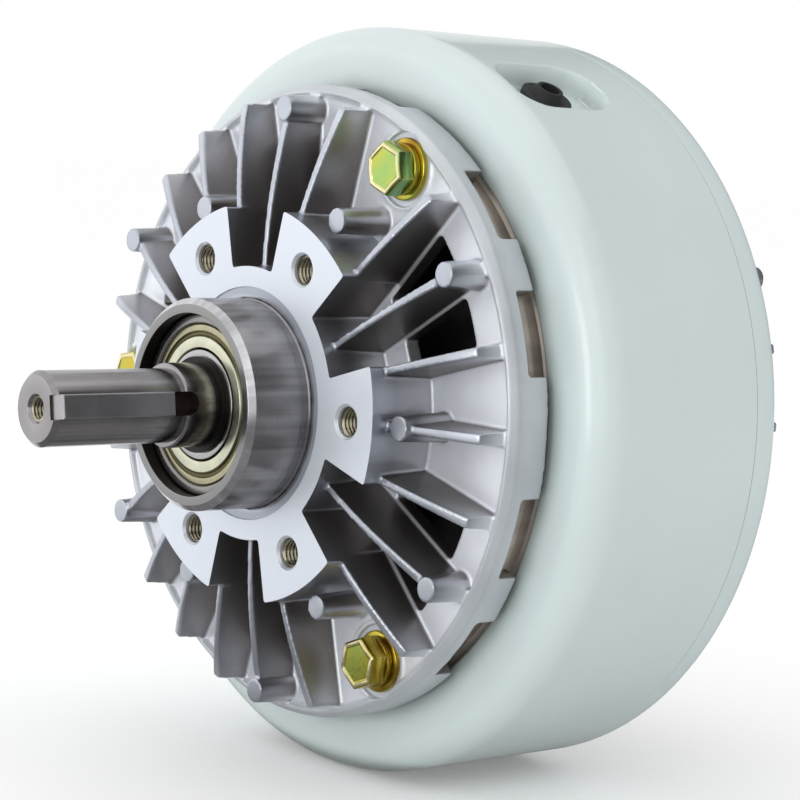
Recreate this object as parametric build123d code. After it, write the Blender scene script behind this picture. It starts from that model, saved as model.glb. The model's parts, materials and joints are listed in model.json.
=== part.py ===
from build123d import *
import math
import os

# Magnetic powder brake, naturally cooled, held by a flange face.
# Lengths are millimetres. Every piece is modelled along its own Z, which points out of the
# shaft end, and level 0 is the face of the six mounting pads. Levels behind it are negative.

# Mounting face
bolt_circle = 110.0
mount_hole = 8.5
mount_hole_depth = 18.0
mount_hole_mouth = 11.6
mount_hole_mouth_depth = 0.45
pilot = 72.0
pilot_height = 24.2
pad_outer = 137.0
pad_half_angle = 16.4
hub_ring = 94.0
relief_ring = 80.0
relief_depth = 0.5

# Shaft end and its key
shaft_end = 25.0
shaft_reach = 84.0
shaft_collar = 28.6
collar_level = 34.1
shaft_chamfer = 1.6
collar_chamfer = 0.8
end_thread = 6.8
end_thread_depth = 18.0
end_thread_mouth = 8.4
end_thread_mouth_depth = 0.8
key_width = 8.0
key_height = 7.0
key_clearance = 5.7
key_setback = 0.8
keyway_depth = 4.0
keyway_runout = 10.5
key_angle = 9.0
key_chamfer = 0.4

# Ball bearings
bearing_bore = 30.0
bearing_outside = 62.0
bearing_width = 16.0
ball = 9.4
ball_count = 9
race_shoulder = 3.6
race_clearance = 0.1
cage_width = 11.6
cage_thickness = 1.6
shield_thickness = 0.5
shield_recess = 0.3

# Bearing seats
bearing_recess = 4.7
sleeve_lip = 4.0
sleeve_chamfer = 2.0
sleeve_root_land = 3.4
sleeve_root_groove = 0.4
sleeve_mouth_chamfer = 0.4
clip_thickness = 1.5
clip_groove = 1.0
clip_gap = 40.0
front_clip_height = 3.0
rear_clip_height = 3.4
spring_height = 2.5
spring_width = 3.0
rear_bearing_inset = 4.0

# Shaft inside the housing
shaft_shoulder = 37.0
shaft_tail = 3.5
shaft_tail_chamfer = 1.0
rotor_seat = 46.0
rotor_flange = 56.0
rotor_flange_width = 6.0
nut_thread = 42.0
nut_outside = 64.0
nut_width = 8.0
nut_slot = 6.0
rotor_key_width = 12.0
rotor_key_height = 8.0
rotor_key_setback = 5.0
rotor_key_depth = 5.0

# Finned bracket
floor_depth = 25.3
floor_thickness = 5.7
hub_tail = 10.7
fin_pitch = 15.0
fin_root = 5.2
fin_tip = 2.4
fin_setback = 4.8
fin_drop = 8.6
fin_end_inset = 4.5
post_diameter = 9.4
post_taper = 0.8
post_inner_circle = 149.6
post_outer_circle = 202.4
post_inner_setback = 5.5
post_outer_setback = 9.9
window_inner = 118.0
window_outer = 184.5
window_margin = 1.0
window_corner = 1.5
rim_outer = 220.0
rim_inner = 213.5
rim_height = 2.1
rim_land = 1.2
rim_slope = 2.8
skirt_clearance = 0.15
skirt_gap = 2.5
notch_start = 4.9
notch_angle = 14.7
notch_depth = 7.7
bracket_bolt_circle = 191.4
boss_diameter = 27.0
boss_height = 0.6
spot_face = 25.0
spot_depth = 1.0

# Yoke, its register for the bracket, and the coil
yoke_outside = 263.0
yoke_setback = 41.0
yoke_length = 84.0
yoke_rounding = 11.0
yoke_rear_rounding = 6.0
register_outside = 208.0
register_land = 3.4
register_groove = 1.6
register_groove_width = 2.0
plate_step = 176.0
plate_step_depth = 14.0
powder_bore = 160.0
coil_inside = 184.0
yoke_wall = 17.5
coil_wall = 21.0
gap_ring_width = 16.0
bobbin_wall = 2.0
coil_clearance = 0.3
ring_flange = 12.0

# Pocket in the yoke for the leads
pocket_angle = 60.0
pocket_width = 26.0
pocket_length = 40.0
pocket_depth = 7.0
pocket_setback = 12.0
pocket_corner = 11.0
lead_hole = 12.0
lead_bore = 7.0
grommet_flange = 18.0
grommet_flange_height = 2.2
grommet_nose = 3.0

# Rotor and powder seals
powder_gap = 1.2
rotor_rim = 11.0
rotor_end_room = 5.0
rotor_web = 10.0
rotor_hub = 68.0
rotor_hub_setback = 5.0
rotor_hole = 20.0
rotor_hole_circle = 102.0
rotor_hole_count = 6
seal_plate_thickness = 3.0
seal_plate_clearance = 0.3
seal_collar_wall = 3.0
seal_collar_length = 9.0
shaft_seal_width = 8.0
shaft_seal_setback = 12.0
rear_seal_setback = 24.0
seal_rim = 2.0
running_clearance = 0.25

# Fasteners
bolt_thread = 10.0
bolt_flats = 16.0
bolt_head = 6.5
bolt_length = 28.0
bolt_hole_clearance = 1.0
bolt_hole_spare = 2.0
bolt_turns = [-21.0, 10.0, 22.0]
washer_outside = 21.0
washer_thickness = 1.7
spring_washer_outside = 17.6
spring_washer_thickness = 2.4
spring_washer_gap = 2.0
plate_screw_circle = 168.0
plate_screw_thread = 4.0
plate_screw_head = 7.0
plate_screw_head_height = 2.6
plate_screw_grip = 5.0
plate_screw_count = 6
plate_screw_start = 15.0
ring_screw_inset = 10.5
ring_screw_start = 30.0
ring_screw_thread = 5.0
ring_screw_head = 8.5
ring_screw_head_height = 5.0
ring_screw_grip = 10.0
ring_screw_count = 6
cap_screw_circle = 80.0
cap_screw_thread = 5.0
cap_screw_head = 8.5
cap_screw_head_height = 5.0
cap_screw_grip = 9.0
cap_screw_count = 4
cap_screw_start = 45.0
socket_share = 0.47
socket_depth_share = 0.55

# Rear cap
cap_outside = 92.0
cap_seat_depth = 2.5
cap_thickness = 8.0
cap_hollow = 4.5
cap_hollow_diameter = 50.0
cap_chamfer = 1.5

# How far a cutter runs past what it cuts
OVER = 1.0

# Levels that follow from the sizes above
floor_level = -floor_depth
register_level = floor_level - floor_thickness
hub_back_level = floor_level - hub_tail
yoke_level = -yoke_setback
yoke_back = yoke_level - yoke_length
middle = yoke_level - yoke_length / 2
skirt_level = yoke_level + skirt_gap
plate_level = yoke_level - plate_step_depth
coil_front = yoke_level - coil_wall
coil_back = yoke_back + coil_wall
pole_front_end = middle + gap_ring_width / 2
pole_back_end = middle - gap_ring_width / 2
shell_back = yoke_back + ring_flange
bearing_front = pilot_height - bearing_recess
bearing_back = bearing_front - bearing_width
spot_level = floor_level - spot_depth
rotor_length = yoke_length - 2 * (plate_step_depth + rotor_end_room)
rotor_hub_length = rotor_length - 2 * rotor_hub_setback
rotor_key_length = rotor_hub_length - 2 * rotor_key_setback
rotor_front = middle + rotor_length / 2
rotor_back = middle - rotor_length / 2
hub_front = middle + rotor_hub_length / 2
hub_back = middle - rotor_hub_length / 2
key_front = shaft_reach - key_setback
key_back = collar_level + key_clearance
lead_level = yoke_level - pocket_setback - pocket_length / 2


def opposite(level):
    # The matching level at the other end of the yoke.
    return 2 * middle - level


rear_face = opposite(0)
rear_bearing_back = rear_face + rear_bearing_inset
rear_bearing_front = rear_bearing_back + bearing_width
cap_seat = rear_face + cap_seat_depth
cap_back = cap_seat - cap_thickness
tail_level = rear_bearing_back - shaft_tail

# Diameters and radii that several pieces share
coil_outside = yoke_outside - 2 * yoke_wall
ring_screw_circle = yoke_outside - 2 * ring_screw_inset
pilot_radius = pilot / 2
hub_radius = hub_ring / 2
fin_outer = rim_outer / 2 - fin_end_inset
seat_radius = bearing_bore / 2
cup_radius = bearing_outside / 2
lip_radius = cup_radius - sleeve_lip
pitch_radius = (seat_radius + cup_radius) / 2
neck_radius = shaft_end / 2
shoulder_radius = shaft_shoulder / 2
front_clip_radius = shaft_collar / 2 - clip_groove
rear_clip_radius = seat_radius - clip_groove
rotor_seat_radius = rotor_seat / 2
skirt_inner_radius = register_outside / 2 + skirt_clearance
yoke_radius = yoke_outside / 2

# Directions seen from the shaft end, counted anticlockwise from +X
pad_angles = [0, 60, 120, 180, 240, 300]
outer_post_angles = [30, 90, 150, 210, 270, 330]
bolt_angles = [60, 180, 300]


def tube(inner, outer, back, front):
    # A ring between two radii and two levels, or a disc where the inner radius is 0.
    body = Cylinder(outer, front - back)
    if inner > 0:
        body -= Cylinder(inner, front - back)
    return Pos(0, 0, (front + back) / 2) * body


def turned(*points):
    # A body of revolution from its half section, given as (radius, level) points.
    return revolve(Plane.XZ * make_face(Polyline(*points, close=True)), Axis.Z)


def rims(body, rim_radius, level):
    # The round edges of one radius at one level.
    circles = body.edges().filter_by(GeomType.CIRCLE)
    return circles.filter_by(
        lambda edge: abs(edge.radius - rim_radius) < 0.01 and abs(edge.arc_center.Z - level) < 0.01
    )


def evenly(count, start=0.0):
    return [start + 360 * place / count for place in range(count)]


def around(piece, angles, circle=0.0):
    # Copies of a piece at the given angles, moved out to a circle.
    return [Rot(0, 0, angle) * Pos(circle / 2, 0, 0) * piece for angle in angles]


def cut_all(body, cutters):
    for cutter in cutters:
        body -= cutter
    return body


def rear_of(piece):
    # The same piece at the other end of the yoke.
    if isinstance(piece, list):
        return [rear_of(one) for one in piece]
    return mirror(piece, about=Plane.XY.offset(middle))


def sector(inner, outer, half_angle, back, front):
    # A block between two radii, symmetric about +X.
    reach = 1.5 * outer
    side = reach * math.sin(math.radians(half_angle))
    ahead = reach * math.cos(math.radians(half_angle))
    wedge = make_face(Polyline((0, 0), (ahead, -side), (ahead, side), close=True))
    # The ring's seam is turned away, since a rib that meets a seam is lost when they are joined.
    ring = Rot(0, 0, 180) * tube(inner, outer, back, front)
    return ring & Pos(0, 0, back) * extrude(wedge, front - back)


def drilled(hole, back, front):
    # A straight hole to be cut between two levels.
    return tube(0, hole / 2, back, front)


def tapped(hole, depth, mouth, mouth_depth, level):
    # A blind hole with a drill point and a cone at its mouth, to be cut.
    return turned(
        (0, level - depth - hole / 4),
        (hole / 2, level - depth),
        (hole / 2, level - mouth_depth),
        (mouth / 2, level),
        (mouth / 2, level + OVER),
        (0, level + OVER),
    )


def angle_between(first, second):
    return abs((first - second + 180) % 360 - 180)


def fin_front(at_radius):
    # Level of a fin's front edge, which falls away towards the rim.
    share = (at_radius - hub_radius) / (fin_outer - hub_radius)
    return -fin_setback - fin_drop * share**2


def fin_envelope():
    # The space that the fins may fill, under their curved front edges.
    start = hub_radius - fin_root
    bend = (start + fin_outer) / 2
    foot = (rim_inner + fin_outer * 2) / 4
    back = floor_level - OVER
    front = ThreePointArc(
        (start, fin_front(start)), (bend, fin_front(bend)), (fin_outer, fin_front(fin_outer))
    )
    rest = Polyline(
        (fin_outer, fin_front(fin_outer)),
        (foot, floor_level),
        (foot, back),
        (start, back),
        (start, fin_front(start)),
    )
    return revolve(Plane.XZ * make_face(front + rest), Axis.Z)


def fin(start):
    # A drafted rib along +X, from a start radius to past the rim.
    back = floor_level - OVER
    height = -fin_setback + OVER - back
    slope = (fin_root - fin_tip) / 2 / (floor_depth - fin_setback)
    foot = fin_root / 2 + slope * OVER
    tip = foot - slope * height
    section = make_face(
        Polyline((start, -foot, back), (start, foot, back), (start, tip, back + height),
                 (start, -tip, back + height), close=True)
    )
    return extrude(section, fin_outer + OVER - start, dir=(1, 0, 0))


def post(circle, setback, angle):
    # A drafted round post with a flat tip.
    foot = post_diameter / 2
    height = floor_depth - setback + OVER
    body = Cone(foot + post_taper / 2, foot - post_taper / 2, height)
    return Rot(0, 0, angle) * Pos(circle / 2, 0, -setback - height / 2) * body


def window(side):
    # An opening in the floor between the fin along +X and the next fin on one side.
    turn = math.radians(fin_pitch)
    gap = fin_root / 2 + window_margin
    reach = window_outer
    corner = (gap * (1 + math.cos(turn)) / math.sin(turn), side * gap)
    wedge = make_face(
        Polyline(
            corner,
            (corner[0] + reach, corner[1]),
            (corner[0] + reach * math.cos(turn), corner[1] + side * reach * math.sin(turn)),
            close=True,
        )
    )
    back = register_level - OVER
    front = floor_level + OVER
    opening = tube(window_inner / 2, window_outer / 2, back, front)
    opening &= Pos(0, 0, back) * extrude(wedge, front - back)
    return fillet(opening.edges().filter_by(Axis.Z), window_corner)


def bracket():
    # The finned casting that both ends share, seen as the front one.
    rim = rim_outer / 2
    lip = rim_inner / 2
    rim_level = floor_level + rim_height
    core = turned(
        (pilot_radius, hub_back_level),
        (pilot_radius, 0),
        (hub_radius, 0),
        (hub_radius, floor_level),
        (lip - rim_height / 2, floor_level),
        (lip, rim_level),
        (lip + rim_land, rim_level),
        (rim, rim_level - rim_slope),
        (rim, skirt_level),
        (skirt_inner_radius, skirt_level),
        (skirt_inner_radius, register_level),
        (hub_radius + hub_tail / 2, register_level),
        (hub_radius, hub_back_level),
    )
    pads = around(
        sector(pilot_radius, pad_outer / 2, pad_half_angle, floor_level - OVER, 0), pad_angles
    )

    ribs = []
    for angle in evenly(round(360 / fin_pitch)):
        if min(angle_between(angle, other) for other in bolt_angles) < fin_pitch / 2:
            continue
        reaches_hub = min(angle_between(angle, other) for other in outer_post_angles) < fin_pitch / 2
        start = hub_radius if reaches_hub else pad_outer / 2
        ribs.append(Rot(0, 0, angle) * fin(start - fin_root / 2))
    envelope = fin_envelope()
    ribs = [rib & envelope for rib in ribs]

    posts = [post(post_inner_circle, post_inner_setback, angle) for angle in pad_angles]
    posts += [post(post_outer_circle, post_outer_setback, angle) for angle in outer_post_angles]
    boss = drilled(boss_diameter, floor_level - OVER, floor_level + boss_height)
    bosses = around(boss, bolt_angles, bracket_bolt_circle)
    body = core.fuse(*pads)
    body = body.fuse(*ribs)
    body = body.fuse(*posts, *bosses)

    windows = [Rot(0, 0, angle) * window(side) for angle in outer_post_angles for side in (-1, 1)]
    notch = sector(
        skirt_inner_radius - OVER, rim + OVER, notch_angle / 2, skirt_level - OVER,
        skirt_level + notch_depth,
    )
    offset = notch_start + notch_angle / 2
    notches = [Rot(0, 0, angle + side * offset) * notch for angle in outer_post_angles for side in (-1, 1)]
    spot = drilled(spot_face, spot_level, 0)
    hole = drilled(bolt_thread + bolt_hole_clearance, register_level - OVER, 0)
    body = cut_all(body, windows + notches)
    return cut_all(body, around(spot + hole, bolt_angles, bracket_bolt_circle))


def front_bracket(casting):
    hole = tapped(mount_hole, mount_hole_depth, mount_hole_mouth, mount_hole_mouth_depth, 0)
    body = cut_all(casting, around(hole, pad_angles, bolt_circle))
    return body - tube(pilot_radius - OVER, relief_ring / 2, -relief_depth, OVER)


def cap_screw_angles():
    return evenly(cap_screw_count, cap_screw_start)


def rear_bracket(casting):
    body = rear_of(casting) - tube(0, cap_outside / 2 + running_clearance, rear_face - OVER, cap_seat)
    hole = drilled(cap_screw_thread, cap_seat - OVER, cap_seat + cap_screw_grip + bolt_hole_spare)
    return cut_all(body, around(hole, cap_screw_angles(), cap_screw_circle))


def front_sleeve():
    # The steel tube whose outside is the spigot and whose bore holds the bearing.
    return turned(
        (lip_radius, hub_back_level),
        (lip_radius, bearing_back),
        (cup_radius, bearing_back),
        (cup_radius, pilot_height - sleeve_mouth_chamfer),
        (cup_radius + sleeve_mouth_chamfer, pilot_height),
        (pilot_radius - sleeve_chamfer, pilot_height),
        (pilot_radius, pilot_height - sleeve_chamfer),
        (pilot_radius, sleeve_root_land),
        (pilot_radius - sleeve_root_groove, sleeve_root_land),
        (pilot_radius - sleeve_root_groove, 0),
        (pilot_radius, 0),
        (pilot_radius, hub_back_level),
    )


def rear_sleeve():
    shoulder = rear_bearing_front + spring_height
    return turned(
        (lip_radius, opposite(hub_back_level)),
        (lip_radius, shoulder),
        (cup_radius, shoulder),
        (cup_radius, cap_seat),
        (pilot_radius, cap_seat),
        (pilot_radius, opposite(hub_back_level)),
    )


def race_groove(back, front):
    # The round channel that the balls run in.
    section = Pos(pitch_radius, (front + back) / 2) * Circle(ball / 2 + race_clearance)
    return revolve(Plane.XZ * section, Axis.Z)


def outer_race(back, front):
    return tube(cup_radius - race_shoulder, cup_radius, back, front) - race_groove(back, front)


def inner_race(back, front):
    return tube(seat_radius, seat_radius + race_shoulder, back, front) - race_groove(back, front)


def shields(back, front):
    inner = seat_radius + race_shoulder + running_clearance
    outer = cup_radius - race_shoulder
    near = front - shield_recess
    far = back + shield_recess
    return [
        tube(inner, outer, near - shield_thickness, near),
        tube(inner, outer, far, far + shield_thickness),
    ]


def balls(back, front):
    one = Pos(0, 0, (front + back) / 2) * Sphere(ball / 2)
    return around(one, evenly(ball_count), 2 * pitch_radius)


def cage(back, front):
    # A ribbon with a round pocket for each ball.
    level = (front + back) / 2
    ring = tube(
        pitch_radius - cage_thickness / 2,
        pitch_radius + cage_thickness / 2,
        level - cage_width / 2,
        level + cage_width / 2,
    )
    pocket = Pos(0, 0, level) * Rot(0, 90, 0) * Cylinder(ball / 2 + race_clearance, 4 * cage_thickness)
    return cut_all(ring, around(pocket, evenly(ball_count), 2 * pitch_radius))


def shaft_circlip(inner, outer, back):
    # A ring sprung into the shaft's groove, with its gap away from the key.
    front = back + clip_thickness
    gap = sector(inner - OVER, outer + OVER, clip_gap / 2, back - OVER, front + OVER)
    return tube(inner, outer, back, front) - Rot(0, 0, 180) * gap


def preload_spring():
    # A flat ring in the space of the wave washer that pushes the rear bearing back.
    outer = cup_radius - running_clearance
    return tube(outer - spring_width, outer, rear_bearing_front, rear_bearing_front + spring_height)


def shaft_seal(setback):
    # A rubber ring pressed into the sleeve, with a lip that nearly meets the shaft.
    front = -setback
    back = front - shaft_seal_width
    inner = shoulder_radius + running_clearance
    lip = shaft_seal_width / 3
    return turned(
        (inner, back + lip),
        (inner, back + 2 * lip),
        (inner + seal_rim, front - lip / 2),
        (lip_radius - seal_rim, front - lip / 2),
        (lip_radius - seal_rim, front),
        (lip_radius, front),
        (lip_radius, back),
        (inner + seal_rim / 2, back),
    )


def shaft():
    thread_back = hub_back - nut_width
    clip_back = rear_bearing_back - clip_thickness
    clip_front = bearing_front + clip_thickness
    flange_front = hub_front + rotor_flange_width
    body = turned(
        (0, tail_level),
        (seat_radius - shaft_tail_chamfer, tail_level),
        (seat_radius, tail_level + shaft_tail_chamfer),
        (seat_radius, clip_back),
        (rear_clip_radius, clip_back),
        (rear_clip_radius, rear_bearing_back),
        (seat_radius, rear_bearing_back),
        (seat_radius, rear_bearing_front),
        (shoulder_radius, rear_bearing_front),
        (shoulder_radius, thread_back),
        (nut_thread / 2, thread_back),
        (nut_thread / 2, hub_back),
        (rotor_seat_radius, hub_back),
        (rotor_seat_radius, hub_front),
        (rotor_flange / 2, hub_front),
        (rotor_flange / 2, flange_front),
        (shoulder_radius, flange_front),
        (shoulder_radius, bearing_back),
        (seat_radius, bearing_back),
        (seat_radius, bearing_front),
        (front_clip_radius, bearing_front),
        (front_clip_radius, clip_front),
        (shaft_collar / 2, clip_front),
        (shaft_collar / 2, collar_level - collar_chamfer),
        (shaft_collar / 2 - collar_chamfer, collar_level),
        (neck_radius, collar_level),
        (neck_radius, shaft_reach - shaft_chamfer),
        (neck_radius - shaft_chamfer, shaft_reach),
        (0, shaft_reach),
    )
    body -= tapped(
        end_thread, end_thread_depth, end_thread_mouth, end_thread_mouth_depth, shaft_reach
    )
    return body - Rot(0, 0, key_angle) * (keyway() + rotor_key_room())


def keyway():
    # Open at the shaft end, with a round run-out past the key.
    bottom = neck_radius - keyway_depth
    height = shaft_end
    end = key_back - keyway_runout + key_width / 2
    front = shaft_reach + OVER
    room = Pos(bottom + height / 2, 0, (front + end) / 2) * Box(height, key_width, front - end)
    return room + Pos(bottom + height / 2, 0, end) * Rot(0, 90, 0) * Cylinder(key_width / 2, height)


def rotor_key_room():
    bottom = rotor_seat_radius - rotor_key_depth
    return Pos(bottom + rotor_seat / 2, 0, middle) * Box(rotor_seat, rotor_key_width, rotor_key_length)


def shaft_key():
    bottom = neck_radius - keyway_depth
    body = Pos(bottom + key_height / 2, 0, (key_back + key_front) / 2) * Box(
        key_height, key_width, key_front - key_back
    )
    top = body.faces().sort_by(Axis.X)[-1]
    return Rot(0, 0, key_angle) * chamfer(top.edges(), key_chamfer)


def rotor_key():
    bottom = rotor_seat_radius - rotor_key_depth
    body = Pos(bottom + rotor_key_height / 2, 0, middle) * Box(
        rotor_key_height, rotor_key_width, rotor_key_length
    )
    return Rot(0, 0, key_angle) * body


def rotor():
    # The drum that the powder grips, joined to its hub by a web with holes.
    outside = powder_bore / 2 - powder_gap
    inside = outside - rotor_rim
    hub = rotor_hub / 2
    web = rotor_web / 2
    body = turned(
        (rotor_seat_radius, hub_back),
        (hub, hub_back),
        (hub, middle - web),
        (inside, middle - web),
        (inside, rotor_back),
        (outside, rotor_back),
        (outside, rotor_front),
        (inside, rotor_front),
        (inside, middle + web),
        (hub, middle + web),
        (hub, hub_front),
        (rotor_seat_radius, hub_front),
    )
    hole = drilled(rotor_hole, middle - rotor_web, middle + rotor_web)
    body = cut_all(body, around(hole, evenly(rotor_hole_count), rotor_hole_circle))
    top = rotor_seat_radius - rotor_key_depth + rotor_key_height
    slot = Pos(top / 2, 0, middle) * Box(top, rotor_key_width, rotor_hub_length + 2 * OVER)
    return body - Rot(0, 0, key_angle) * slot


def rotor_nut():
    # A round nut with four spanner slots, which holds the rotor against the shaft's flange.
    body = tube(nut_thread / 2, nut_outside / 2, hub_back - nut_width, hub_back)
    slot = Pos(0, 0, hub_back - nut_width / 2) * Box(nut_slot, nut_slot, nut_width + 2 * OVER)
    return cut_all(body, around(slot, evenly(4), nut_outside))


def register_points():
    # The turned step that the bracket's skirt sits on, from the yoke's face to its own.
    outer = register_outside / 2
    groove = outer - register_groove
    groove_front = register_level - register_land
    groove_back = groove_front - register_groove_width
    return [
        (outer, yoke_level),
        (outer, groove_back),
        (groove, groove_back),
        (groove, groove_front),
        (outer, groove_front),
        (outer, register_level),
        (plate_step / 2, register_level),
        (plate_step / 2, plate_level),
        (powder_bore / 2, plate_level),
    ]


def plate_screw_angles():
    return evenly(plate_screw_count, plate_screw_start)


def seat_holes():
    # The tapped holes for the bracket's bolts and the seal plate's screws, to be cut.
    bolt_bottom = spot_level + washer_thickness + spring_washer_thickness - bolt_length
    bolt_hole = drilled(bolt_thread, bolt_bottom - bolt_hole_spare, register_level + OVER)
    screw_hole = drilled(
        plate_screw_thread, plate_level - plate_screw_grip - OVER / 2, plate_level + OVER
    )
    holes = around(bolt_hole, bolt_angles, bracket_bolt_circle)
    return holes + around(screw_hole, plate_screw_angles(), plate_screw_circle)


def ring_screw_angles():
    return evenly(ring_screw_count, ring_screw_start)


def pocket_room():
    # The rounded pocket in the yoke's side, with its floor square to the lead hole.
    floor = yoke_radius - pocket_depth
    outline = RectangleRounded(pocket_width, pocket_length, pocket_corner)
    body = extrude(Plane.YZ * outline, yoke_radius)
    return Rot(0, 0, pocket_angle) * Pos(floor, 0, lead_level) * body


def yoke():
    # The outer field ring with the front pole.
    outside = coil_outside / 2
    inside = coil_inside / 2
    body = turned(
        (yoke_radius, shell_back),
        (yoke_radius, yoke_level),
        *register_points(),
        (powder_bore / 2, pole_front_end),
        (inside, pole_front_end),
        (inside, coil_front),
        (outside, coil_front),
        (outside, shell_back),
    )
    body = fillet(rims(body, yoke_radius, yoke_level), yoke_rounding)
    screw_hole = drilled(ring_screw_thread, shell_back - OVER, shell_back + ring_screw_grip + OVER)
    body = cut_all(body, seat_holes() + around(screw_hole, ring_screw_angles(), ring_screw_circle))
    lead = Pos(coil_outside / 2, 0, lead_level) * Rot(0, 90, 0) * Cylinder(
        lead_hole / 2, yoke_outside - coil_outside
    )
    return body - pocket_room() - Rot(0, 0, pocket_angle) * lead


def rear_yoke_ring():
    # The rear pole, with a flange that closes the coil space.
    points = [(radius, opposite(level)) for radius, level in register_points()]
    body = turned(
        (yoke_radius, shell_back),
        (yoke_radius, yoke_back),
        *points,
        (powder_bore / 2, pole_back_end),
        (coil_inside / 2, pole_back_end),
        (coil_inside / 2, coil_back),
        (coil_outside / 2, coil_back),
        (coil_outside / 2, shell_back),
    )
    body = fillet(rims(body, yoke_radius, yoke_back), yoke_rear_rounding)
    hole = drilled(ring_screw_thread, yoke_back - OVER, shell_back + OVER)
    sink = drilled(ring_screw_head, yoke_back - OVER, yoke_back + ring_screw_head_height)
    holes = around(hole + sink, ring_screw_angles(), ring_screw_circle)
    return cut_all(body, rear_of(seat_holes()) + holes)


def gap_ring():
    return tube(powder_bore / 2, coil_inside / 2, pole_back_end, pole_front_end)


def coil_bobbin():
    inner = coil_inside / 2 + coil_clearance
    outer = coil_outside / 2 - coil_clearance
    front = coil_front - coil_clearance
    back = coil_back + coil_clearance
    return turned(
        (inner, back),
        (outer, back),
        (outer, back + bobbin_wall),
        (inner + bobbin_wall, back + bobbin_wall),
        (inner + bobbin_wall, front - bobbin_wall),
        (outer, front - bobbin_wall),
        (outer, front),
        (inner, front),
    )


def coil():
    inner = coil_inside / 2 + coil_clearance + bobbin_wall
    outer = coil_outside / 2 - coil_clearance - bobbin_wall / 2
    margin = coil_clearance + bobbin_wall
    return tube(inner, outer, coil_back + margin, coil_front - margin)


def lead_grommet():
    # The rubber bush that the leads come out of, seated on the pocket's floor.
    floor = yoke_radius - pocket_depth
    top = floor + grommet_flange_height
    outline = turned(
        (lead_bore / 2, coil_outside / 2 + coil_clearance),
        (lead_hole / 2, coil_outside / 2 + coil_clearance),
        (lead_hole / 2, floor),
        (grommet_flange / 2, floor),
        (grommet_flange / 2, top),
        (lead_hole / 2, top),
        (lead_bore / 2 + grommet_flange_height / 2, top + grommet_nose),
        (lead_bore / 2, top + grommet_nose),
    )
    return Rot(0, 0, pocket_angle) * Pos(0, 0, lead_level) * Rot(0, 90, 0) * outline


def seal_plate():
    # A disc with a collar round the shaft, which keeps the powder in.
    inner = shoulder_radius + running_clearance
    outer = plate_step / 2 - seal_plate_clearance
    collar = inner + seal_collar_wall
    front = plate_level + seal_plate_thickness
    body = turned(
        (inner, plate_level),
        (outer, plate_level),
        (outer, front),
        (collar, front),
        (collar, front + seal_collar_length),
        (inner, front + seal_collar_length),
    )
    hole = drilled(plate_screw_thread, plate_level - OVER, front + OVER)
    return cut_all(body, around(hole, plate_screw_angles(), plate_screw_circle))


def hexagon_head(flats, height):
    # A hexagon with its front corners turned off.
    corner = flats / math.sqrt(3)
    drop = (corner - flats / 2) * 0.6
    block = extrude(RegularPolygon(corner, 6), height)
    trim = turned((0, 0), (corner + OVER, 0), (corner + OVER, height - drop),
                  (corner, height - drop), (flats / 2, height), (0, height))
    return block & trim


def bracket_bolts():
    seat = spot_level + washer_thickness + spring_washer_thickness
    shank = drilled(bolt_thread, seat - bolt_length, seat)
    head = Pos(0, 0, seat) * hexagon_head(bolt_flats, bolt_head)
    return [
        Rot(0, 0, angle) * Pos(bracket_bolt_circle / 2, 0, 0) * (Rot(0, 0, turn - angle) * head + shank)
        for angle, turn in zip(bolt_angles, bolt_turns)
    ]


def plain_washers():
    inner = (bolt_thread + bolt_hole_clearance / 2) / 2
    ring = tube(inner, washer_outside / 2, spot_level, spot_level + washer_thickness)
    return around(ring, bolt_angles, bracket_bolt_circle)


def spring_washers():
    inner = (bolt_thread + bolt_hole_clearance / 2) / 2
    back = spot_level + washer_thickness
    ring = tube(inner, spring_washer_outside / 2, back, back + spring_washer_thickness)
    slit = Pos(-washer_outside / 2, 0, back + spring_washer_thickness / 2) * Box(
        washer_outside, spring_washer_gap, spring_washer_thickness + 2 * OVER
    )
    return around(ring - slit, bolt_angles, bracket_bolt_circle)


def socket_screw(thread, head, head_height, shank_length):
    # A cap screw with a hexagon socket, its head on level 0 and its shank behind.
    body = tube(0, head / 2, 0, head_height) + drilled(thread, -shank_length, 0)
    depth = head_height * socket_depth_share
    socket = extrude(RegularPolygon(head * socket_share / math.sqrt(3), 6), depth + OVER)
    return body - Pos(0, 0, head_height - depth) * socket


def plate_screws():
    level = plate_level + seal_plate_thickness
    one = socket_screw(
        plate_screw_thread, plate_screw_head, plate_screw_head_height,
        seal_plate_thickness + plate_screw_grip,
    )
    return around(Pos(0, 0, level) * one, plate_screw_angles(), plate_screw_circle)


def ring_screws():
    one = socket_screw(
        ring_screw_thread, ring_screw_head, ring_screw_head_height,
        ring_flange - ring_screw_head_height + ring_screw_grip,
    )
    level = yoke_back + ring_screw_head_height
    facing_back = Pos(0, 0, level) * Rot(180, 0, 0) * one
    return around(facing_back, ring_screw_angles(), ring_screw_circle)


def cap_screws():
    one = socket_screw(
        cap_screw_thread, cap_screw_head, cap_screw_head_height, cap_thickness + cap_screw_grip
    )
    facing_back = Pos(0, 0, cap_back) * Rot(180, 0, 0) * one
    return around(facing_back, cap_screw_angles(), cap_screw_circle)


def rear_cap():
    # A disc that closes the rear sleeve and holds the bearing by a low spigot.
    hollow = cap_hollow_diameter / 2
    spigot = cup_radius - running_clearance
    body = turned(
        (0, cap_back),
        (cap_outside / 2 - cap_chamfer, cap_back),
        (cap_outside / 2, cap_back + cap_chamfer),
        (cap_outside / 2, cap_seat),
        (spigot, cap_seat),
        (spigot, rear_bearing_back),
        (hollow, rear_bearing_back),
        (hollow, cap_seat - cap_hollow),
        (0, cap_seat - cap_hollow),
    )
    hole = drilled(cap_screw_thread, cap_back - OVER, cap_seat + OVER)
    return cut_all(body, around(hole, cap_screw_angles(), cap_screw_circle))


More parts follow.
